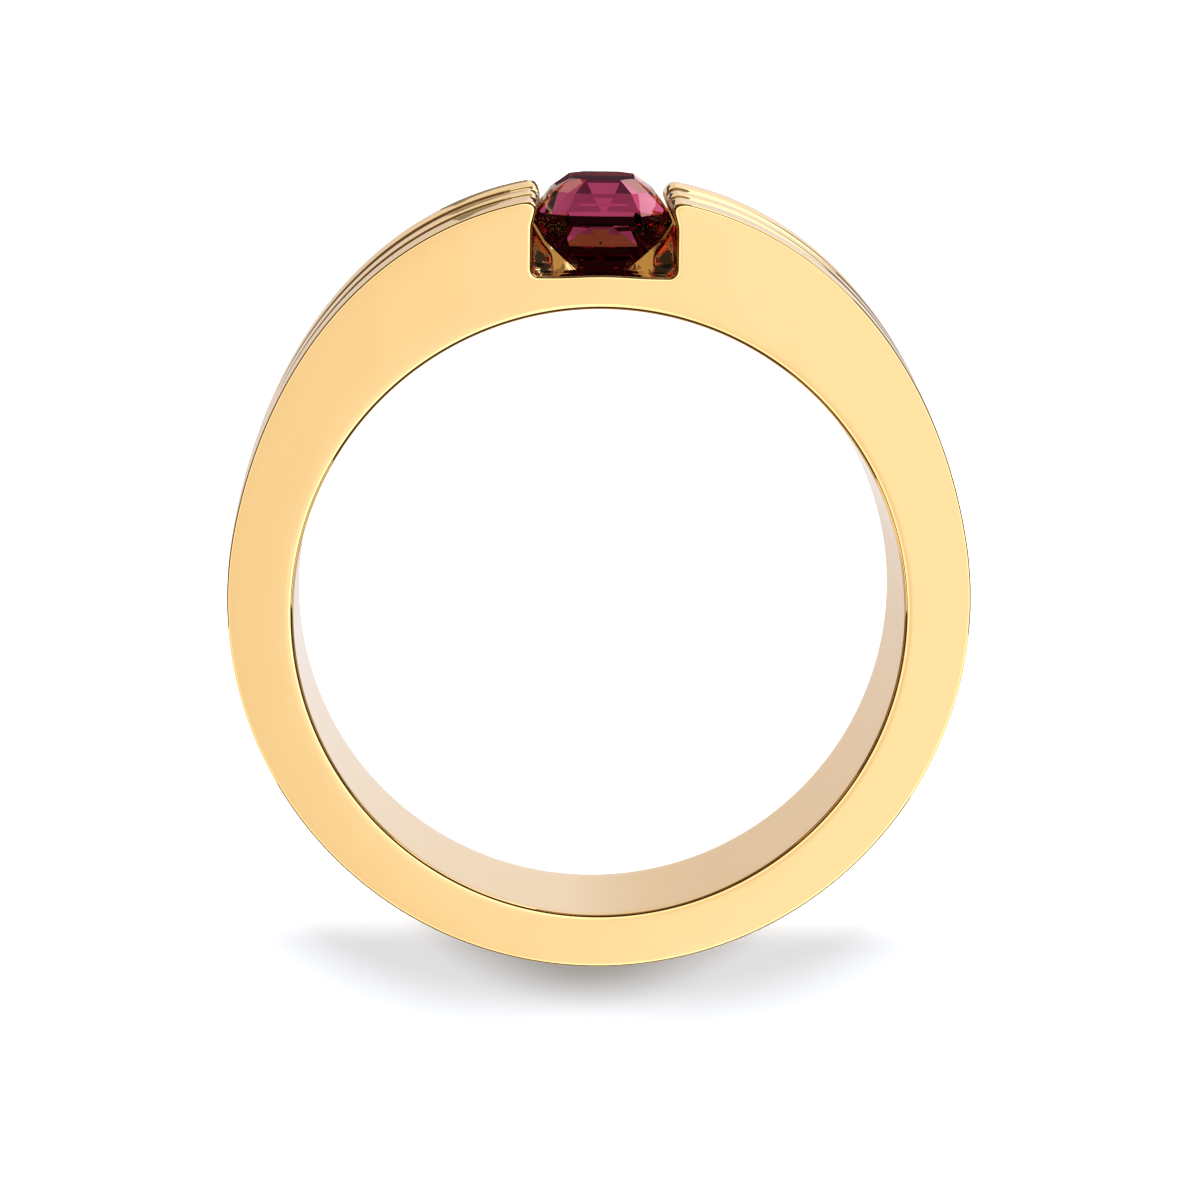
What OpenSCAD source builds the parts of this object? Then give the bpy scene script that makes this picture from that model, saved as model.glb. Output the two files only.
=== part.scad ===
// Wide finger ring with one octagonal faceted stone let into a notch between two ribbed shoulders.
// Millimetres and degrees. The finger hole runs along Z with its centre at the origin, the stone
// faces +Y, and the ring lies on its side at Z = -band_width / 2.

/* [Finger hole] */

// Inside diameter
bore_diameter = 17.3; // [15.5:0.1:19.5]
// Radius of the two rounded rims of the hole
rim_radius = 0.16; // [0.08:0.02:0.24]

/* [Band] */

// Width along the finger
band_width = 6; // [5.8:0.1:7.6]
// Wall at the base, opposite the stone
base_wall = 1.5; // [1.3:0.05:1.9]
// Wall that the taper adds from the base to the top
taper_wall = 0.72; // [0.6:0.02:0.84]
// Wall that the two shoulders add beside the stone
shoulder_wall = 0.98; // [0.9:0.02:1.1]
// Angle from the stone at which the shoulders begin
shoulder_angle = 78; // [66:1:96]
// Angle from the stone within which the shoulders keep their full wall
shoulder_full_angle = 10; // [0:1:16]
// Rise of the plain shank's middle over its edges
shank_dome = 0.08; // [0.04:0.01:0.16]

/* [Ribs] */

// Rise of the middle rib over the band's edges, beside the stone
rib_height = 0.44; // [0.3:0.02:0.56]
// Angle from the stone at which the ribs have run out
rib_end_angle = 95; // [70:1:120]

/* [Stone] */

// Across the top, between the shoulders
stone_width = 3.95; // [3.85:0.05:4.05]
// Along the finger
stone_length = 3.92; // [3.82:0.02:4.3]
// From the girdle up to the table
crown_height = 1.16; // [1:0.02:1.24]
// From the girdle down to the culet
pavilion_depth = 1.75; // [1.6:0.01:1.76]
// Inset of the table's edge from the girdle's, towards the shoulders
table_inset = 1.055; // [0.95:0.005:1.15]
// Inset of the table's edge from the girdle's, towards the band's two faces
table_end_inset = 0.886; // [0.836:0.01:0.986]

/* [Setting] */

// Height of the girdle over the finger hole's wall
girdle_height = 2.43; // [2.42:0.01:2.5]
// Lean of the stone and its notch towards +Z
lean = 3.5; // [0:0.5:4]
// Gap left on each side of the stone
stone_gap = 0.03; // [0.02:0.01:0.05]
// From the girdle down to the notch's floor
floor_depth = 1.29; // [1.2:0.01:1.34]
// Radius of the notch's lower corners
corner_radius = 0.2; // [0.12:0.02:0.28]
// Reach of each lip over the stone's side at the middle of the band
lip_reach = 0.2; // [0.14:0.01:0.24]
// How far each lip draws back again towards the band's two faces
lip_flare = 0.12; // [0.04:0.01:0.16]
// Radius of the rounded end of each shoulder
end_radius = 0.38; // [0.26:0.02:0.44]
// Reach of each bearing ledge out of the notch's wall
ledge_reach = 0.59; // [0.4:0.01:0.66]
// Setback of the ledges' feet from the band's two faces
ledge_setback = 0.65; // [0.5:0.05:0.9]
// Length over which each end of a ledge slopes up from its foot to its top
ledge_slope = 1.1; // [0.7:0.05:1.3]

/* [Hidden] */

bore_radius = bore_diameter / 2;
half_band = band_width / 2;
girdle_radius = bore_radius + girdle_height;
girdle_half = 0.03;
notch_half = stone_width / 2 + stone_gap;
opening_half = stone_width / 2 - lip_reach;
// Heights over the girdle between which the lips lean in.
lip_low = 0.09;
lip_high = 0.48;
// The floor rises by this much from its sides to its middle, on this radius.
floor_rise = 0.05;
floor_arch_radius = 25;
// The pocket under the stone, in the notch's floor.
pocket_width = 2.1;
pocket_length = stone_length - 0.9;
culet_clearance = 0.05;
ledge_clearance = 0.06;

// Each level is [height over the girdle, inset from the girdle's outline along X and along Z,
// corner cut].
table_level = [crown_height, table_inset, table_end_inset, 0.43];
upper_level = [0.70 * crown_height, 0.48 * table_inset, 0.526 * table_end_inset, 0.68];
lower_level = [0.20 * crown_height, 0.09 * table_inset, 0.053 * table_end_inset, 0.83];
girdle_level = [girdle_half, 0, 0, 0.88];
pavilion_levels = [
    [-girdle_half, 0, 0, 0.88],
    [-0.36 * pavilion_depth, 0.36, 0.473, 0.65],
    [-0.65 * pavilion_depth, 0.88, 0.900, 0.38],
    [-0.86 * pavilion_depth, 1.27, 1.467, 0.15],
    [-pavilion_depth, stone_width / 2 - 0.06, stone_length / 2 - 0.05, 0.03],
];
// The crown's two inner levels have their corners pulled in, so each side breaks into triangles.
upper_pull = 0.095;
lower_pull = 0.060;
// The upper level's two points on each side, as a share of half that side from its middle.
upper_share = 0.41;

// Each step is [distance from the middle as a share of half the width, share of the rib height].
rib_steps = [
    [1, 0], [0.96, 0.05], [0.83, 0.16], [0.7, 0.25], [0.665, 0.22], [0.64, 0.36], [0.58, 0.47],
    [0.49, 0.54], [0.38, 0.58], [0.335, 0.54], [0.31, 0.7], [0.25, 0.82], [0.16, 0.93], [0, 1],
];
rib_profile = concat(
    [for (i = [0 : len(rib_steps) - 1]) [-rib_steps[i][0], rib_steps[i][1]]],
    [for (i = [len(rib_steps) - 2 : -1 : 0]) rib_steps[i]]
);

// A smooth fall from 1, at or below the first angle, to 0 at the last.
function fall(angle, first, last) =
    (1 + cos(180 * max(0, min(1, (abs(angle) - first) / (last - first))))) / 2;

function wall(angle) =
    base_wall + taper_wall * fall(angle, 0, 180)
    + shoulder_wall * fall(angle, shoulder_full_angle, shoulder_angle);

function rib_share(angle) = pow(fall(angle, 8, rib_end_angle), 2);

function relief(angle, step) =
    rib_share(angle) * rib_height * step[1]
    + (1 - rib_share(angle)) * shank_dome * (1 - step[0] * step[0]);

// Drop of the outer surface where the shoulder's end rounds down to the opening.
function end_drop(x) =
    let (along = min(end_radius, max(0, opening_half + end_radius - abs(x))))
    end_radius - sqrt(end_radius * end_radius - along * along);

function outer_radius(angle, step) =
    let (radius = bore_radius + wall(angle) + relief(angle, step))
    abs(angle) < 90 ? radius - end_drop(radius * sin(angle)) : radius;

// Section angles: close together where the shoulders' ends round over, wider round the base.
end_from = asin(opening_half / (bore_radius + wall(8) + rib_height)) - 0.4;
end_to = asin((opening_half + end_radius) / (bore_radius + wall(10))) + 0.4;
half_angles = concat(
    [0, end_from / 2],
    [for (i = [0 : 8]) end_from + (end_to - end_from) * i / 8],
    [for (a = [14 : 3 : 98]) a],
    [for (a = [102 : 6 : 174]) a]
);
angles = concat(
    half_angles,
    [180],
    [for (i = [len(half_angles) - 1 : -1 : 1]) -half_angles[i]]
);

// The band before its hole and notch: one closed skin through all the sections.
module band_blank() {
    sections = len(angles);
    steps = len(rib_profile);
    function corner(i, j) = (i % sections) * steps + j;
    points = concat(
        [for (angle = angles) for (step = rib_profile)
            let (radius = outer_radius(angle, step))
            [-radius * sin(angle), radius * cos(angle), half_band * step[0]]],
        [[0, 0, -half_band], [0, 0, half_band]]
    );
    low_centre = sections * steps;
    faces = concat(
        [for (i = [0 : sections - 1]) for (j = [0 : steps - 2])
            [corner(i, j), corner(i, j + 1), corner(i + 1, j + 1)]],
        [for (i = [0 : sections - 1]) for (j = [0 : steps - 2])
            [corner(i, j), corner(i + 1, j + 1), corner(i + 1, j)]],
        [for (i = [0 : sections - 1]) [low_centre, corner(i, 0), corner(i + 1, 0)]],
        [for (i = [0 : sections - 1])
            [low_centre + 1, corner(i + 1, steps - 1), corner(i, steps - 1)]]
    );
    polyhedron(points = points, faces = faces);
}

// The finger hole with its two rounded rims.
module bore() {
    cylinder(r = bore_radius, h = band_width + 2, center = true, $fn = 180);
    for (side = [0, 1]) mirror([0, 0, side])
        translate([0, 0, half_band - rim_radius])
            rotate_extrude($fn = 180)
                difference() {
                    square([bore_radius + rim_radius, rim_radius + 1]);
                    translate([bore_radius + rim_radius, 0]) circle(r = rim_radius, $fn = 48);
                    translate([bore_radius, -1]) square([1, 1]);
                }
}

// Puts things in the stone's own frame: girdle at height 0, table up +Y, leaning towards +Z.
module stone_frame() {
    translate([0, girdle_radius, 0]) rotate([lean, 0, 0]) children();
}

// Side view of the pavilion from the girdle down to the culet, widened by a margin.
function pavilion_outline(margin) = concat(
    [[-stone_width, 1], [-stone_width / 2 - margin, 1]],
    [for (level = pavilion_levels) [-stone_width / 2 + level[1] - margin, level[0]]],
    [for (i = [len(pavilion_levels) - 1 : -1 : 0])
        [stone_width / 2 - pavilion_levels[i][1] + margin, pavilion_levels[i][0]]],
    [[stone_width / 2 + margin, 1], [stone_width, 1]]
);

// Cross-section of the notch: arched floor, rounded lower corners, walls and leaning lips.
module notch_section() {
    low = -floor_depth - floor_rise;
    difference() {
        union() {
            translate([-notch_half, low + corner_radius])
                square([2 * notch_half, lip_low - low - corner_radius]);
            translate([-notch_half + corner_radius, low])
                square([2 * (notch_half - corner_radius), 1]);
            for (side = [-1, 1])
                translate([side * (notch_half - corner_radius), low + corner_radius])
                    circle(r = corner_radius, $fn = 48);
        }
        translate([0, -floor_depth - floor_arch_radius])
            circle(r = floor_arch_radius, $fn = 256);
    }
    polygon([
        [-notch_half, 0], [notch_half, 0], [notch_half, lip_low], [opening_half, lip_high],
        [-opening_half, lip_high], [-notch_half, lip_low],
    ]);
}

// Plan of the opening between the lips, narrowest at the middle of the band.
module opening_plan() {
    shares = [for (s = [-1.25 : 0.125 : 1.25]) s];
    polygon(concat(
        [for (s = shares) [opening_half + lip_flare * s * s, s * half_band]],
        [for (i = [len(shares) - 1 : -1 : 0])
            let (s = shares[i]) [-opening_half - lip_flare * s * s, s * half_band]]
    ));
}

// The notch, open at both faces, with a pocket in its floor that clears the culet.
module notch() {
    pocket_height = 0.8;
    stone_frame() {
        linear_extrude(height = band_width + 4, center = true) notch_section();
        translate([0, -pavilion_depth - culet_clearance + pocket_height / 2, 0])
            cube([pocket_width, pocket_height, pocket_length], center = true);
    }
    translate([0, girdle_radius, 0]) rotate([-90, 0, 0])
        linear_extrude(height = 3) opening_plan();
}

// The two ledges that carry the pavilion's long sides, rooted in the walls and the floor, with
// ends that slope up from foot to top.
module ledges() {
    root = 0.2;
    top = -0.1;
    foot_half = half_band - ledge_setback;
    top_half = foot_half - ledge_slope;
    stone_frame()
        intersection() {
            linear_extrude(height = 2 * foot_half, center = true)
                difference() {
                    for (side = [0, 1]) mirror([side, 0])
                        translate([notch_half - ledge_reach, -floor_depth - root])
                            square([ledge_reach + root, floor_depth + root + top]);
                    polygon(pavilion_outline(ledge_clearance));
                }
            rotate([0, 90, 0])
                linear_extrude(height = 2 * stone_width, center = true)
                    polygon([
                        [-foot_half, -floor_depth - root], [foot_half, -floor_depth - root],
                        [foot_half, -floor_depth], [top_half, top],
                        [-top_half, top], [-foot_half, -floor_depth],
                    ]);
        }
}

// One casting: shank, ribbed shoulders, notch, ledges and lips.
module band() {
    color([0.93, 0.74, 0.36])
        difference() {
            union() {
                difference() {
                    band_blank();
                    notch();
                }
                ledges();
            }
            bore();
        }
}

// The eight corners of the stone's plan at one level, as [x, z], pulled in by a little or not.
function plan(level, pull = 0) =
    let (x = stone_width / 2 - level[1], z = stone_length / 2 - level[2], cut = level[3])
    [
        [x - cut, z - pull], [x - pull, z - cut], [x - pull, cut - z], [x - cut, pull - z],
        [cut - x, pull - z], [pull - x, cut - z], [pull - x, z - cut], [cut - x, z - pull],
    ];

// Points on each side of a level's plan, at shares of half the side from its middle.
function side_points(level, shares) =
    let (corners = plan(level))
    [for (k = [0 : 7]) for (share = shares)
        (corners[k] + corners[(k + 1) % 8] + share * (corners[(k + 1) % 8] - corners[k])) / 2];

// Plan points lifted to their level's height.
function raised(level, points) = [for (p = points) [p[0], level[0], p[1]]];

// One cut stone: the convex solid through its corners, from the table down to the culet.
module stone() {
    corners = concat(
        raised(table_level, plan(table_level)),
        raised(upper_level, plan(upper_level, upper_pull)),
        raised(upper_level, side_points(upper_level, [-upper_share, upper_share])),
        raised(lower_level, plan(lower_level, lower_pull)),
        raised(lower_level, side_points(lower_level, [0])),
        raised(girdle_level, plan(girdle_level)),
        [for (level = pavilion_levels) each raised(level, plan(level))]
    );
    color([0.55, 0.02, 0.12])
        stone_frame()
            hull()
                polyhedron(points = corners, faces = [[for (i = [0 : len(corners) - 1]) i]]);
}

band();
stone();
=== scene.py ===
import math

import bpy
import numpy as np
from mathutils import Matrix, Vector


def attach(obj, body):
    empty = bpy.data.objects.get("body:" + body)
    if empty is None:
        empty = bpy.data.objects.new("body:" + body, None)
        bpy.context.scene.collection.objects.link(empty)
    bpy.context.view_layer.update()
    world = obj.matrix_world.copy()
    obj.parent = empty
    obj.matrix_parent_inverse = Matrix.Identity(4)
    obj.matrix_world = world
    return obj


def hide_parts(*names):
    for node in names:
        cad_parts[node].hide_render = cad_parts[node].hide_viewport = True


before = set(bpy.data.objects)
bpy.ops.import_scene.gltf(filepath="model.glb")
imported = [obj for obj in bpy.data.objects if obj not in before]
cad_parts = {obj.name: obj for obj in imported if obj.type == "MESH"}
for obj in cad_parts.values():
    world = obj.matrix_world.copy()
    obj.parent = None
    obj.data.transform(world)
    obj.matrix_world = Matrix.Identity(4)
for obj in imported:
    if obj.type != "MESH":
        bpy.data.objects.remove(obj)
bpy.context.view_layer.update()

# All sizes below are in millimetres and all angles in degrees. The finger hole runs along Z and
# the stone faces +Y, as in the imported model. The ring's near side is the one at +Z, its far side
# the one at -Z, and an angle round the band is counted from the stone.
MM = 0.001

# Finger hole and band
BORE_RADIUS = 8.65
RIM_RADIUS = 0.16
HALF_BAND = 3.0
BASE_WALL = 1.5
TAPER_WALL = 0.72
SHOULDER_WALL = 0.98
SHOULDER_FULL_ANGLE = 10
SHOULDER_ANGLE = 78
SHANK_DOME = 0.08
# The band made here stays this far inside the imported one
SKIN_MARGIN = 0.002

# Ribs: each step is (distance from the middle as a share of half the width, share of the height)
RIB_HEIGHT = 0.44
RIB_FULL_ANGLE = 8
RIB_END_ANGLE = 95
RIB_SOFTNESS = 0.022
RIB_STEPS = (
    (1, 0), (0.96, 0.05), (0.83, 0.16), (0.7, 0.25), (0.665, 0.22), (0.64, 0.36), (0.58, 0.47),
    (0.49, 0.54), (0.38, 0.58), (0.335, 0.54), (0.31, 0.7), (0.25, 0.82), (0.16, 0.93), (0, 1),
)
# The profile is worked out at this many places, to a little past both flat sides
PROFILE_SAMPLES = 6601
PROFILE_REACH = 1.1

# Notch, measured from the stone's girdle, which leans towards +Z
GIRDLE_RADIUS = 11.08
LEAN = 3.5
NOTCH_HALF = 2.005
FLOOR_DEPTH = 1.29
FLOOR_RISE = 0.05
FLOOR_RISE_HALF = 1.58
FLOOR_LOW = -FLOOR_DEPTH - FLOOR_RISE
CORNER_RADIUS = 0.2

# Lips: they start on the notch's walls, lean over the stone and leave an opening between them,
# beside which the shoulders' ends round over. The tips stay under the outer surface by the room,
# and the rounding ends above them by the margin. The run is what follows the rounding and is
# still drawn by its distance from the opening.
LIP_LOW = 0.09
LIP_HIGH = 0.48
LIP_ROOM = 0.16
LIP_MARGIN = 0.04
OPENING_HALF = 1.775
LIP_FLARE = 0.12
END_RADIUS = 0.38
END_RUN = 1.9
LIP_SOFT_ROUNDS = 4

# Bearing ledges and pocket under the stone
LEDGE_FOOT_HALF = 2.35
LEDGE_TOP_HALF = 1.25
LEDGE_TOP = -0.1
LEDGE_RAMP = 0.16
LEDGE_INNER = 1.415
LEDGE_CLEARANCE = 0.06
POCKET_HALF = (1.05, 1.51)
POCKET_DEPTH = 0.51
# The stone's pavilion: height from the girdle and half its width there
PAVILION = ((-1.75, 0.06), (-1.505, 0.705), (-1.1375, 1.095), (-0.63, 1.615), (-0.03, 1.975), (0, 1.975))

# Rounded edges between the flat sides and what meets them: their radii, and the turns from the
# surface towards the side that they are drawn at
EDGE_SKIN = 0.06
EDGE_WALL = 0.16
EDGE_FLOOR = 0.09
EDGE_TURNS = np.radians(np.linspace(0, 86, 9))
EDGE_SOFT_ROUNDS = 3
# The edges would fold at the lips' tips, so they are evened out there. The far side's tips lie
# nearest to the outer surface and take more rounds.
RELAX_ROUNDS_NEAR = 16
RELAX_ROUNDS_FAR = 160
# The buffed sides fall away a little towards the finger hole and towards the outer surface
SIDE_FALL = 0.010
FALL_WIDTH_HOLE = 1.0
FALL_WIDTH_SKIN = 0.7

# Steps along each stretch of the half outline, from the notch's middle to the ring's base. Those
# along the shoulder's run widen by the power given, and those along the skin are equal angles.
FLOOR_STEPS = 18
CORNER_STEPS = 7
WALL_STEPS = 21
LIP_STEPS = 7
OPENING_STEPS = 4
ROUND_STEPS = 12
SHOULDER_STEPS = 11
SHOULDER_SPACING = 1.3
SKIN_STEPS = 107
SKIN_START = 20.6
# The flat sides run from the outline in to the finger hole's rim. These are the angles on the rim
# that face the places where the outline's stretches meet, spread so that the sides' faces stay even.
RIM_AT_CORNER = 11.0
RIM_AT_WALL = 15.5
RIM_AT_LIP = 20.0
RIM_UNDER_LIP = 20.5
RIM_AT_OPENING = 23.0
RIM_AT_ROUND = 24.0
RIM_AT_SHOULDER = 26.0
RIM_AT_SKIN = 27.7
# Past the shoulder the rim's angles run ahead of the outline's by this much, fading out from there
RIM_LEAD = 7.6
RIM_LEAD_FADE = 65

# Rows across the band crowd together at the grooves, two on each side of the middle
ROWS_ACROSS = 97
ROW_SAMPLES = 4001
GROOVES = (2.0, 1.0)
GROOVE_WIDTH = 0.16
GROOVE_CROWDING = 3
# Rows on the flat sides, as shares of the way in to the finger hole, and how many rows there are
# along the hole's wall with both its ends
SIDE_ROWS = (0.03, 0.07, 0.12, 0.18, 0.26, 0.36, 0.47, 0.58, 0.69, 0.79, 0.87, 0.93, 0.97)
HOLE_ROWS = 12

# Camera, found from the ring's outline in the picture
CAMERA_PLACE = (-4.53, 20.06, 137.61)
CAMERA_PAN = -1.928
CAMERA_TILT = -8.288
CAMERA_ROLL = 0.758
CAMERA_LENS = 144.55
SENSOR_WIDTH = 36


def between(first, last, share):
    return first + share * (last - first)


def fall(angle, first, last):
    """A smooth fall from 1, at or below the first angle, to 0 at the last."""
    share = np.clip((np.abs(angle) - first) / (last - first), 0, 1)
    return (1 + np.cos(np.pi * share)) / 2


def wall(angle):
    """Thickness of the band under its ribs."""
    taper = TAPER_WALL * fall(angle, 0, 180)
    return BASE_WALL + taper + SHOULDER_WALL * fall(angle, SHOULDER_FULL_ANGLE, SHOULDER_ANGLE)


def rib_profile(z):
    """The stepped ribs' share of their height across the band, with creases softened."""
    profile = np.array(RIB_STEPS[::-1])
    fine = np.linspace(-HALF_BAND * PROFILE_REACH, HALF_BAND * PROFILE_REACH, PROFILE_SAMPLES)
    heights = np.interp(np.abs(fine) / HALF_BAND, profile[:, 0], profile[:, 1])
    pitch = fine[1] - fine[0]
    reach = int(3 * RIB_SOFTNESS / pitch)
    kernel = np.exp(-0.5 * (np.arange(-reach, reach + 1) * pitch / RIB_SOFTNESS) ** 2)
    padded = np.pad(heights, reach, mode="edge")
    return np.interp(z, fine, np.convolve(padded, kernel / kernel.sum(), mode="valid"))


def skin_radius(angle, z):
    """Radius of the outer surface, before the shoulders' ends round over."""
    ribs = fall(angle, RIB_FULL_ANGLE, RIB_END_ANGLE) ** 2
    dome = SHANK_DOME * (1 - (z / HALF_BAND) ** 2)
    relief = ribs * RIB_HEIGHT * rib_profile(z) + (1 - ribs) * dome
    return BORE_RADIUS + wall(angle) + relief - SKIN_MARGIN


def skin_height(x, z):
    """Y of the outer surface over a given X, found by a few rounds of closing in."""
    radius_guess = 12
    angle = np.degrees(np.arcsin(x / radius_guess))
    for _ in range(6):
        angle = np.degrees(np.arcsin(x / skin_radius(angle, z)))
    return skin_radius(angle, z) * np.cos(np.radians(angle))


def side_fall(x, y):
    """How far the flat sides fall away at a place near the finger hole or the outer surface."""
    radius = np.hypot(x, y)
    angle = np.degrees(np.arctan2(np.abs(x), y))
    from_hole = np.clip(1 - (radius - BORE_RADIUS) / FALL_WIDTH_HOLE, 0, 1)
    from_skin = np.clip(1 - (skin_radius(angle, HALF_BAND) - radius) / FALL_WIDTH_SKIN, 0, 1)
    return SIDE_FALL * (from_hole ** 3 + from_skin ** 3)


def opening_half(z, share=1.0):
    """Half the width between the lips, which flare by a share of their full flare."""
    return OPENING_HALF + share * LIP_FLARE * (z / HALF_BAND) ** 2


def leaning(height, z):
    """Y of a point at a height over the leaning girdle plane, at a given Z."""
    lean = math.radians(LEAN)
    return GIRDLE_RADIUS + height / math.cos(lean) - z * math.tan(lean)


def pinched(x, height, z):
    """Notch section narrowed by the two bearing ledges along the middle of the notch."""
    depths, halves = zip(*PAVILION)
    ledge = np.maximum(LEDGE_INNER, np.interp(height, depths, halves) + LEDGE_CLEARANCE)
    rise = np.clip((height + FLOOR_DEPTH) / (LEDGE_TOP + FLOOR_DEPTH), 0, 1)
    half_length = LEDGE_FOOT_HALF + rise * (LEDGE_TOP_HALF - LEDGE_FOOT_HALF)
    inside = np.clip((half_length - np.abs(z)) / LEDGE_RAMP, 0, 1)
    share = np.minimum(1, ledge / NOTCH_HALF)
    return x * (1 - inside * (1 - share))


def pocket(x, z):
    """Depth of the dished pocket that clears the culet."""
    across = 1 - np.clip(np.abs(x) / POCKET_HALF[0], 0, 1) ** 4
    along = 1 - np.clip(np.abs(z) / POCKET_HALF[1], 0, 1) ** 4
    return POCKET_DEPTH * across * along


# Each function that is named for a point gives X and Y of one stretch of the outline, for an array
# of Z


def floor_point(across, z):
    """The notch's arched floor, at a distance from its middle."""
    share = min(1, across / FLOOR_RISE_HALF)
    height = -FLOOR_DEPTH - FLOOR_RISE * (1 - math.cos(math.pi * share)) / 2
    x = pinched(across + 0 * z, height, z)
    return x, leaning(height - pocket(x, z), z)


def corner_point(turn, z):
    """The rounded corner between the floor and the wall."""
    turn = math.radians(turn)
    height = FLOOR_LOW + CORNER_RADIUS * (1 - math.cos(turn))
    x = NOTCH_HALF - CORNER_RADIUS * (1 - math.sin(turn))
    return pinched(x + 0 * z, height, z), leaning(height, z)


def wall_point(height, z):
    """The notch's wall, at a height over the girdle."""
    return pinched(NOTCH_HALF + 0 * z, height, z), leaning(height, z)


def lip_tip(z):
    """Y of the lips' tips, kept a little under the outer surface."""
    return np.minimum(leaning(LIP_HIGH, z), skin_height(opening_half(z), z) - LIP_ROOM)


def under_point(share, z):
    """The lip's underside, from the wall to the tip."""
    x = NOTCH_HALF + share * (opening_half(z) - NOTCH_HALF)
    foot = leaning(LIP_LOW, z)
    return x, foot + share * (lip_tip(z) - foot)


def opening_point(share, z):
    """The opening's low upright wall over the lip's tip."""
    tip = lip_tip(z)
    top = shoulder_point(0.0, z)[1]
    return opening_half(z), tip + share * (top - tip)


def shoulder_point(distance, z):
    """The shoulder's rounded end and what follows it, at a distance from the opening's wall."""
    share = max(0.0, 1 - distance / (END_RADIUS + END_RUN))
    x = opening_half(z, share) + distance
    along = max(0.0, 1 - distance / END_RADIUS)
    drop = 1 - math.sqrt(1 - along ** 2)
    room = skin_height(opening_half(z), z) - lip_tip(z) - LIP_MARGIN
    return x, skin_height(x, z) - drop * np.minimum(END_RADIUS, room)


def skin_point(angle, z):
    """The outer surface away from the notch."""
    radius = skin_radius(angle, z)
    return radius * math.sin(math.radians(angle)), radius * math.cos(math.radians(angle))


def steps(count):
    """Equal shares of a stretch up to 1, without the 0, which ends the stretch before."""
    return np.linspace(0, 1, count + 1)[1:]


def outline_stations():
    """The half outline: point function, its place, edge radius and angle on the hole's rim."""
    stations = []
    for share in np.linspace(0, 1, FLOOR_STEPS + 1):
        across = share * (NOTCH_HALF - CORNER_RADIUS)
        stations.append((floor_point, across, EDGE_FLOOR, share * RIM_AT_CORNER))
    for share in steps(CORNER_STEPS):
        edge = between(EDGE_FLOOR, EDGE_WALL, share)
        stations.append((corner_point, 90 * share, edge, between(RIM_AT_CORNER, RIM_AT_WALL, share)))
    for share in steps(WALL_STEPS):
        height = between(FLOOR_LOW + CORNER_RADIUS, LIP_LOW, share)
        risen = (height - FLOOR_LOW) / (LIP_LOW - FLOOR_LOW)
        stations.append((wall_point, height, EDGE_WALL, between(RIM_AT_WALL, RIM_AT_LIP, risen)))
    for share in steps(LIP_STEPS):
        rim_angle = between(RIM_UNDER_LIP, RIM_AT_OPENING, share)
        stations.append((under_point, share, EDGE_WALL, rim_angle))
    for share in steps(OPENING_STEPS):
        rim_angle = between(RIM_AT_OPENING, RIM_AT_ROUND, share)
        stations.append((opening_point, share, EDGE_WALL, rim_angle))
    for share in steps(ROUND_STEPS):
        distance = END_RADIUS * (1 - math.cos(math.radians(90 * share)))
        edge = between(EDGE_WALL, EDGE_SKIN, share)
        rim_angle = between(RIM_AT_ROUND, RIM_AT_SHOULDER, share)
        stations.append((shoulder_point, distance, edge, rim_angle))
    for share in steps(SHOULDER_STEPS):
        distance = END_RADIUS + END_RUN * share ** SHOULDER_SPACING
        rim_angle = between(RIM_AT_SHOULDER, RIM_AT_SKIN, share)
        stations.append((shoulder_point, distance, EDGE_SKIN, rim_angle))
    for angle in np.linspace(SKIN_START, 180, SKIN_STEPS + 1):
        lead = RIM_LEAD * max(0.0, 1 - (angle - SKIN_START) / RIM_LEAD_FADE) ** 2
        stations.append((skin_point, angle, EDGE_SKIN, angle + lead))
    return stations


def rows_across():
    """Z of the rows across the outer surface, closer together at the ribs' grooves."""
    fine = np.linspace(-HALF_BAND + EDGE_WALL, HALF_BAND - EDGE_WALL, ROW_SAMPLES)
    weight = np.ones_like(fine)
    for groove in GROOVES:
        weight += GROOVE_CROWDING * np.exp(-(((np.abs(fine) - groove) / GROOVE_WIDTH) ** 2))
    total = np.cumsum(weight)
    shares = np.linspace(total[0], total[-1], ROWS_ACROSS)
    return np.interp(shares, total, fine)


def square_grid(stations):
    """X, Y and Z of the outer surface with square edges, and how far rounding will pull each in."""
    core = rows_across()[::-1]
    x_all, y_all, z_all, pulls = [], [], [], []
    for (point, place, edge, _), side in stations:
        near = HALF_BAND - edge * (math.sin(EDGE_TURNS[-1]) - np.sin(EDGE_TURNS))
        z = np.concatenate([near[::-1], core, -near])
        x, y = point(place, z)
        arc = edge * (1 - np.cos(EDGE_TURNS))
        x_all.append(side * x)
        y_all.append(y)
        z_all.append(z)
        pulls.append(np.concatenate([arc[::-1], 0 * core, arc]))
    return tuple(np.array(rows) for rows in (x_all, y_all, z_all, pulls))


def into_metal(x, y):
    """Unit directions square to the outline, into the metal, evened out along it."""
    dx = np.roll(x, -1, 0) - np.roll(x, 1, 0)
    dy = np.roll(y, -1, 0) - np.roll(y, 1, 0)
    length = np.hypot(dx, dy)
    inward = np.stack([dy / length, -dx / length])
    for _ in range(EDGE_SOFT_ROUNDS):
        inward = (np.roll(inward, 1, 1) + 2 * inward + np.roll(inward, -1, 1)) / 4
    return inward / np.hypot(inward[0], inward[1])


def evened(values, share):
    """One round of averaging neighbours along the outline, as far as the share says."""
    return values + share * (np.roll(values, 1, 0) + np.roll(values, -1, 0) - 2 * values) / 4


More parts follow.
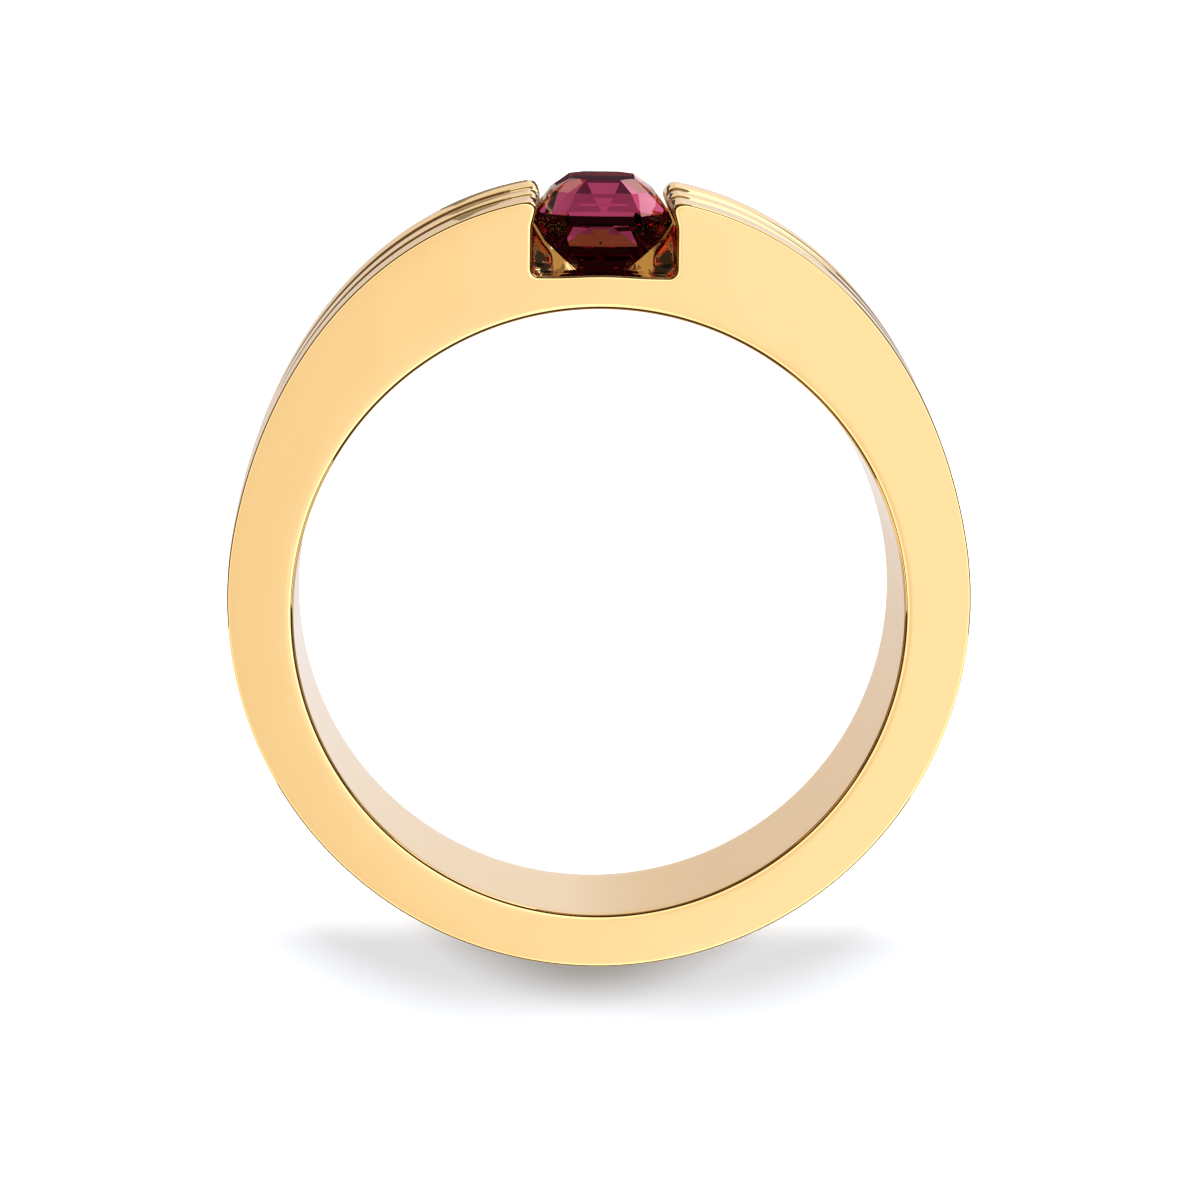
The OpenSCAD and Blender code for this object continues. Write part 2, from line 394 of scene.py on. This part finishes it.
def soften_lips(stations, x, y):
    """Rounds the lips' tips and roots."""
    lips = [row[0] in (wall_point, under_point, opening_point) for row, _ in stations]
    soft = np.array(lips, float)[:, None]
    for _ in range(LIP_SOFT_ROUNDS):
        x, y = evened(x, soft), evened(y, soft)
    return x, y


def relax_tips(stations, x, y, z, nearness):
    """Evens out the lips' tips near the flat sides, most on the far side."""
    tips = [row[0] in (under_point, opening_point) or (row[0] == shoulder_point and row[1] < END_RADIUS)
            for row, _ in stations]
    soft = np.array(tips, float)[:, None] * nearness
    for step in range(RELAX_ROUNDS_FAR):
        if step == RELAX_ROUNDS_NEAR:
            soft = soft * (z < 0)
        x, y = evened(x, soft), evened(y, soft)
    return x, y


def band_points():
    """The whole band as a closed grid: stations round the outline by rows round the section."""
    half = outline_stations()
    mirrored = half[-2:0:-1]
    stations = [(row, 1) for row in half] + [(row, -1) for row in mirrored]
    x, y, z, pull = square_grid(stations)
    x, y = soften_lips(stations, x, y)
    inward = into_metal(x, y)
    x, y = x + pull * inward[0], y + pull * inward[1]
    # From 0 where the widest edge starts to 1 on the flat sides
    nearness = np.clip((np.abs(z) - HALF_BAND + EDGE_WALL) / EDGE_WALL, 0, 1)
    x, y = relax_tips(stations, x, y, z, nearness)
    outer = np.stack([x, y, z - np.sign(z) * nearness * side_fall(x, y)], axis=2)
    rim_angles = np.radians([row[3] * side for row, side in stations])
    return close_section(outer, rim_angles)


def close_section(outer, rim_angles):
    """Adds both flat sides, both rims and the finger hole's wall to the outer surface."""
    sines, cosines = np.sin(rim_angles)[:, None], np.cos(rim_angles)[:, None]
    turns = EDGE_TURNS[::-1]
    rim = RIM_RADIUS * (1 - np.cos(turns))[None, :] + BORE_RADIUS
    rim_rise = RIM_RADIUS * (math.sin(EDGE_TURNS[-1]) - np.sin(turns))[None, :]
    shares = np.array(SIDE_ROWS)
    parts = []
    for side, start in ((-1, outer[:, -1]), (1, outer[:, 0])):
        inner = np.stack([rim[:, :1] * sines, rim[:, :1] * cosines], 2)[:, 0]
        flat = start[:, None, :2] + shares[None, :, None] * (inner - start[:, :2])[:, None]
        flat_z = side * (HALF_BAND - side_fall(flat[:, :, 0], flat[:, :, 1]))
        flat = np.concatenate([flat, flat_z[:, :, None]], 2)
        rim_z = side * (HALF_BAND - SIDE_FALL - rim_rise) + 0 * sines
        rims = np.stack([rim * sines, rim * cosines, rim_z], 2)
        parts.append(np.concatenate([flat, rims], 1))
    far, near = parts
    heights = np.linspace(-1, 1, HOLE_ROWS)[1:-1] * (HALF_BAND - RIM_RADIUS)
    hole = np.stack([BORE_RADIUS * sines + 0 * heights, BORE_RADIUS * cosines + 0 * heights,
                     0 * sines + heights], 2)
    return np.concatenate([outer, far, hole, near[:, ::-1]], 1)


def grid_mesh(name, points):
    """One closed skin over a grid that joins up both ways."""
    rounds, rows = points.shape[:2]
    index = np.arange(rounds * rows).reshape(rounds, rows)
    after = np.roll(index, -1, 0)
    faces = np.stack([index, np.roll(index, -1, 1), np.roll(after, -1, 1), after], 2)
    mesh = bpy.data.meshes.new(name)
    mesh.from_pydata((points.reshape(-1, 3) * MM).tolist(), [], faces.reshape(-1, 4).tolist())
    mesh.polygons.foreach_set("use_smooth", [True] * len(mesh.polygons))
    mesh.update()
    return mesh


def make_band():
    band = bpy.data.objects.new("polished_band", grid_mesh("polished_band", band_points()))
    bpy.context.scene.collection.objects.link(band)
    band.modifiers.new("even shading", "WEIGHTED_NORMAL")
    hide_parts("band")
    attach(band, "root")
    return band


def colour(hex_value):
    """sRGB hex to Blender's linear colour."""
    channels = [int(hex_value[i:i + 2], 16) / 255 for i in (0, 2, 4)]
    linear = [c / 12.92 if c <= 0.04045 else ((c + 0.055) / 1.055) ** 2.4 for c in channels]
    return (*linear, 1.0)


def node(tree, kind, settings=None, **inputs):
    """Adds one shader node, with its settings and with its inputs set or linked."""
    made = tree.nodes.new(kind)
    for key, value in (settings or {}).items():
        setattr(made, key, value)
    for key, value in inputs.items():
        socket = made.inputs[int(key[1:])] if key[0] == "_" else made.inputs[key.replace("_", " ")]
        if isinstance(value, bpy.types.NodeSocket):
            tree.links.new(value, socket)
        else:
            socket.default_value = value
    return made


def ramp(tree, factor, stops):
    """Colour ramp through (place, colour) stops."""
    made = node(tree, "ShaderNodeValToRGB", _0=factor)
    elements = made.color_ramp.elements
    while len(elements) < len(stops):
        elements.new(0.5)
    for element, (place, value) in zip(elements, stops):
        element.position = place
        element.color = value
    return made.outputs[0]


def blank_material(name):
    material = bpy.data.materials.new(name)
    material.use_nodes = True
    material.node_tree.nodes.clear()
    return material, material.node_tree


def millimetres(tree, stretch=(1, 1, 1)):
    """Object coordinates in millimetres, stretched along each axis."""
    place = node(tree, "ShaderNodeTexCoord").outputs["Object"]
    scale = [1 / (MM * s) for s in stretch]
    return node(tree, "ShaderNodeMapping", Vector=place, Scale=scale).outputs[0]


# Blender's noise seldom leaves this range
NOISE_LOW = 0.3
NOISE_HIGH = 0.7


def noise_range(tree, noise, low, high):
    """Spreads a noise over the values from low to high."""
    return node(tree, "ShaderNodeMapRange", Value=noise, From_Min=NOISE_LOW, From_Max=NOISE_HIGH,
                To_Min=low, To_Max=high).outputs[0]


# 18 carat yellow gold, cast, ground and buffed to a mirror. The wheel leaves a hardly visible
# waviness about 2 mm across and a faint haze of hairlines, so reflections stay soft at their edges.
GOLD = "f8d69a"
GOLD_ROUGHNESS = (0.02, 0.05)
WAVE_MM = 2.4
WAVE_DEPTH_MM = 0.05
WAVE_STRENGTH = 0.3
HAIRLINE_MM = 0.09
HAIRLINE_STRETCH = (1, 1, 8)


def gold_material():
    material, tree = blank_material("buffed_yellow_gold")
    waves = node(tree, "ShaderNodeTexNoise", Vector=millimetres(tree), Scale=1 / WAVE_MM, Detail=1.0)
    hairs = node(tree, "ShaderNodeTexNoise", Vector=millimetres(tree, HAIRLINE_STRETCH),
                 Scale=1 / HAIRLINE_MM, Detail=2.0)
    haze = noise_range(tree, hairs.outputs[0], *GOLD_ROUGHNESS)
    bump = node(tree, "ShaderNodeBump", Height=waves.outputs[0], Strength=WAVE_STRENGTH,
                Distance=WAVE_DEPTH_MM * MM)
    surface = node(tree, "ShaderNodeBsdfPrincipled", Base_Color=colour(GOLD), Metallic=1.0,
                   Roughness=haze, Normal=bump.outputs[0])
    node(tree, "ShaderNodeOutputMaterial", Surface=surface.outputs[0])
    return material


# Ruby, cut and polished: a clear, strongly bending crystal whose depth of red comes from the
# way that light travels through it. The density, per metre, says how fast the colours that the
# filter lacks are lost on that way. Faint clouds vary its tint and polish a little.
RUBY_IOR = 1.77
RUBY_DENSITY = 1000.0
RUBY_FILTER = "f695bc"
RUBY_TINTS = ("f6e4e9", "fff4f7")
RUBY_ROUGHNESS = (0.0, 0.012)
CLOUDS_PER_MM = 0.9


def ruby_material():
    material, tree = blank_material("polished_ruby")
    clouds = node(tree, "ShaderNodeTexNoise", Vector=millimetres(tree), Scale=CLOUDS_PER_MM, Detail=3.0)
    tint = ramp(tree, clouds.outputs[0], ((NOISE_LOW, colour(RUBY_TINTS[0])),
                                          (NOISE_HIGH, colour(RUBY_TINTS[1]))))
    polish = noise_range(tree, clouds.outputs[0], *RUBY_ROUGHNESS)
    surface = node(tree, "ShaderNodeBsdfPrincipled", Base_Color=tint, IOR=RUBY_IOR,
                   Roughness=polish, Transmission_Weight=1.0)
    inside = node(tree, "ShaderNodeVolumeAbsorption", Color=colour(RUBY_FILTER), Density=RUBY_DENSITY)
    node(tree, "ShaderNodeOutputMaterial", Surface=surface.outputs[0], Volume=inside.outputs[0])
    return material


def paint(piece, material):
    piece.data.materials.clear()
    piece.data.materials.append(material)


# Stage. A light's numbers are linear, and 1 is as bright as the floor's glow.


def rectangle(axis, place, first, second):
    """Corners of a rectangle square to an axis, with its reach along the other two in order."""
    index = "xyz".index(axis)
    flat = [(first[0], second[0]), (first[1], second[0]), (first[1], second[1]), (first[0], second[1])]
    return [corner[:index] + (place,) + corner[index:] for corner in flat]


def stage_rectangle(name, corners, material):
    mesh = bpy.data.meshes.new(name)
    mesh.from_pydata([tuple(MM * c for c in corner) for corner in corners], [], [(0, 1, 2, 3)])
    piece = bpy.data.objects.new(name, mesh)
    bpy.context.scene.collection.objects.link(piece)
    paint(piece, material)
    return piece


# Floor of white board. In the picture it glows from the ring's base upwards, and doesn't glow below, where
# the shadow lies. The glow is painted light, not a lamp: for a white ground, it takes the ring's cast
# shadow off the floor inside the finger hole and beside the ring.
FLOOR_COLOUR = "eff1f5"
FLOOR_REACH = (-4000, 4000)
GLOW_START = -11.0
GLOW_FULL = -8.5


def floor_material():
    material, tree = blank_material("white_board_with_painted_glow")
    place = node(tree, "ShaderNodeTexCoord").outputs["Object"]
    y = node(tree, "ShaderNodeSeparateXYZ", Vector=place).outputs[1]
    glow = node(tree, "ShaderNodeMapRange", {"interpolation_type": "SMOOTHSTEP"}, Value=y,
                From_Min=GLOW_START * MM, From_Max=GLOW_FULL * MM, To_Min=0.0, To_Max=1.0)
    board = node(tree, "ShaderNodeBsdfDiffuse", Color=colour(FLOOR_COLOUR))
    # This emission is a painted glow, not a lamp: it brightens the board where the ring's shadow would fall
    lamp = node(tree, "ShaderNodeEmission", Strength=glow.outputs[0])
    both = node(tree, "ShaderNodeAddShader", _0=board.outputs[0], _1=lamp.outputs[0])
    node(tree, "ShaderNodeOutputMaterial", Surface=both.outputs[0])
    return material


def make_floor():
    corners = rectangle("z", -HALF_BAND, FLOOR_REACH, FLOOR_REACH)
    floor = stage_rectangle("floor", corners, floor_material())
    floor.visible_glossy = False
    floor.visible_transmission = False


def glow_material(name, light):
    material, tree = blank_material(name)
    lamp = node(tree, "ShaderNodeEmission", Color=(*light, 1))
    node(tree, "ShaderNodeOutputMaterial", Surface=lamp.outputs[0])
    return material


def make_card(name, axis, place, first, second, light, through):
    """A glowing card that only reflections see, or only what shines through the stone."""
    card = stage_rectangle(name, rectangle(axis, place, first, second), glow_material(name, light))
    card.visible_camera = False
    card.visible_shadow = False
    card.visible_diffuse = False
    card.visible_transmission = through
    card.visible_glossy = not through


# Cards that only reflections see: name, axis and place on it, reach along the other two, light
BEHIND_RING = -HALF_BAND - 0.5
REFLECTED_CARDS = (
    # Close to the stone, for its table and lower facets, the notch and the left shoulder's end
    ("table_card", "z", BEHIND_RING, (-1.7, 1.25), (12.35, 13.4), (0.07, 0.045, 0.06)),
    ("dim_card", "z", BEHIND_RING, (-5.0, -2.2), (11.6, 13.0), (0.30, 0.26, 0.18)),
    ("gold_card", "z", BEHIND_RING, (-2.2, 2.2), (9.2, 11.6), (0.50, 0.28, 0.08)),
    ("front_card", "z", 3.3, (-1.4, 1.5), (10.58, 15.5), (0.01, 0.01, 0.01)),
    # Away from the ring, for its rims, its shoulders and the finger hole's wall
    ("left_card", "x", -60, (-30, 220), (-150, -30), (0.14, 0.09, 0.05)),
    ("right_card", "x", 60, (-30, 220), (-150, -40), (0.26, 0.22, 0.18)),
    ("strip_left", "x", -60, (-45, -12), (-50, 30), (1.2, 1.15, 1.05)),
    ("strip_right", "x", 60, (-45, -12), (-50, 30), (1.2, 1.15, 1.05)),
    ("box_right", "y", 50, (14, 60), (-50, -3), (1.9, 1.9, 1.9)),
    # Close over the left lip
    ("box_left", "y", 14.5, (-3.3, -1.8), (-1.7, 0.2), (1.1, 1.1, 1.1)),
)

# Cool white boards behind the stone that only what shines through it sees: name, reach along X,
# reach along Y and brightness
BOARD_Z = -8
BOARD_TONE = (0.9, 0.95, 1.2)
BOARDS = (
    ("board_low", (-0.6, 1.2), (8.0, 9.06), 0.62),
    ("board_gap", (-0.6, 1.2), (9.06, 9.5), 0.16),
    ("board_mid", (-0.6, 1.2), (9.5, 10.3), 0.42),
    ("board_high", (-1.4, 2.0), (10.3, 10.6), 0.66),
    ("board_higher", (-1.4, 2.0), (10.6, 10.86), 0.42),
    ("board_top", (-1.4, 2.0), (11.8, 12.1), 0.23),
    ("board_left", (1.2, 4.5), (8.0, 10.3), 0.58),
    ("board_right", (-5.0, -0.6), (8.0, 10.3), 1.1),
)

# What else shines through the stone: a yellow-green board that turns brown in the ruby, and a dim
# room. The columns are those of the reflected cards.
ROOM_CARDS = (
    ("board_gold", "z", BOARD_Z, (-1.4, 2.0), (11.4, 11.8), (0.26, 0.50, 0.10)),
    ("room_over", "y", 60, (-40, 40), (-60, 2), (0.3, 0.3, 0.3)),
    ("room_back", "z", BOARD_Z - 0.3, (-40, 40), (-40, 45), (0.01, 0.01, 0.01)),
    ("room_front", "z", 30, (-60, 60), (-60, 60), (0.06, 0.06, 0.06)),
)


def make_cards():
    for card in REFLECTED_CARDS:
        make_card(*card, through=False)
    for name, x_reach, y_reach, brightness in BOARDS:
        light = [brightness * share for share in BOARD_TONE]
        make_card(name, "z", BOARD_Z, x_reach, y_reach, light, through=True)
    for card in ROOM_CARDS:
        make_card(*card, through=True)


# Soft lamps over the ring: name, place, width and power. They are slightly cool, which keeps the
# shadow grey beside the gold's warm glow.
LAMP_TONE = (0.97, 0.985, 1.0)
LAMPS = (
    ("lamp_left", (-260, 260, 600), 160, 2.6),
    ("lamp_right", (260, 260, 600), 160, 2.6),
    ("lamp_over", (0, 0, 700), 500, 2.0),
)


def make_lamps():
    """Lamps that shape the shadow and leave reflections alone."""
    for name, place, size, power in LAMPS:
        data = bpy.data.lights.new(name, "AREA")
        data.size = size * MM
        data.energy = power
        data.color = LAMP_TONE
        lamp = bpy.data.objects.new(name, data)
        place = Vector(place) * MM
        turn = place.to_track_quat("Z", "Y").to_matrix().to_4x4()
        lamp.matrix_world = Matrix.Translation(place) @ turn
        bpy.context.scene.collection.objects.link(lamp)
        lamp.visible_glossy = False
        lamp.visible_transmission = False


# The studio in reflections, from straight down at 0 over the horizon at 0.5 to straight up at 1:
# a dark band round the horizon, for the thin dark lines along the rims, under a bright ceiling
STUDIO_STRENGTH = 1.15
STUDIO_GLOW = (
    (0.0, (0.80, 0.78, 0.80, 1)), (0.02, (0.78, 0.75, 0.75, 1)), (0.05, (0.95, 0.93, 0.88, 1)),
    (0.14, (0.85, 0.82, 0.76, 1)), (0.24, (0.34, 0.30, 0.26, 1)), (0.38, (0.24, 0.21, 0.18, 1)),
    (0.46, (0.04, 0.03, 0.025, 1)), (0.75, (0.03, 0.02, 0.015, 1)), (0.79, (0.7, 0.66, 0.6, 1)),
    (0.84, (1.6, 1.6, 1.55, 1)), (0.955, (1.5, 1.5, 1.45, 1)), (0.98, (1, 1, 1, 1)), (1.0, (1, 1, 1, 1)),
)
# It is a little darker and warmer on the left, changing over between these two directions along X
SIDE_LEFT = -0.10
SIDE_RIGHT = 0.12
SIDE_TONES = (
    (0.0, (0.86, 0.80, 0.73, 1)), (0.35, (0.90, 0.84, 0.77, 1)), (0.75, (1, 1, 1, 1)), (1.0, (1, 1, 1, 1)),
)


def make_studio():
    world = bpy.data.worlds.new("studio")
    bpy.context.scene.world = world
    world.cycles_visibility.diffuse = False
    world.use_nodes = True
    tree = world.node_tree
    tree.nodes.clear()
    direction = node(tree, "ShaderNodeTexCoord").outputs["Generated"]
    split = node(tree, "ShaderNodeSeparateXYZ", Vector=direction)
    up = node(tree, "ShaderNodeMapRange", Value=split.outputs[2], From_Min=-1.0, From_Max=1.0)
    side = node(tree, "ShaderNodeMapRange", Value=split.outputs[0], From_Min=SIDE_LEFT, From_Max=SIDE_RIGHT)
    glow = ramp(tree, up.outputs[0], STUDIO_GLOW)
    tone = ramp(tree, side.outputs[0], SIDE_TONES)
    both = node(tree, "ShaderNodeMix", {"data_type": "RGBA", "blend_type": "MULTIPLY"},
                _0=1.0, _6=glow, _7=tone).outputs[2]
    light = node(tree, "ShaderNodeBackground", Color=both, Strength=STUDIO_STRENGTH)
    node(tree, "ShaderNodeOutputWorld", Surface=light.outputs[0])


def make_camera():
    data = bpy.data.cameras.new("camera")
    data.lens = CAMERA_LENS
    data.sensor_width = SENSOR_WIDTH
    data.clip_start = 0.001
    data.clip_end = 20
    camera = bpy.data.objects.new("camera", data)
    turn = (Matrix.Rotation(math.radians(CAMERA_PAN), 4, "Y")
            @ Matrix.Rotation(math.radians(CAMERA_TILT), 4, "X")
            @ Matrix.Rotation(math.radians(CAMERA_ROLL), 4, "Z"))
    camera.matrix_world = Matrix.Translation(Vector(CAMERA_PLACE) * MM) @ turn
    bpy.context.scene.collection.objects.link(camera)
    bpy.context.scene.camera = camera


make_camera()
paint(make_band(), gold_material())
paint(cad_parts["stone"], ruby_material())
make_floor()
make_cards()
make_lamps()
make_studio()
bpy.context.scene.view_settings.view_transform = "Standard"
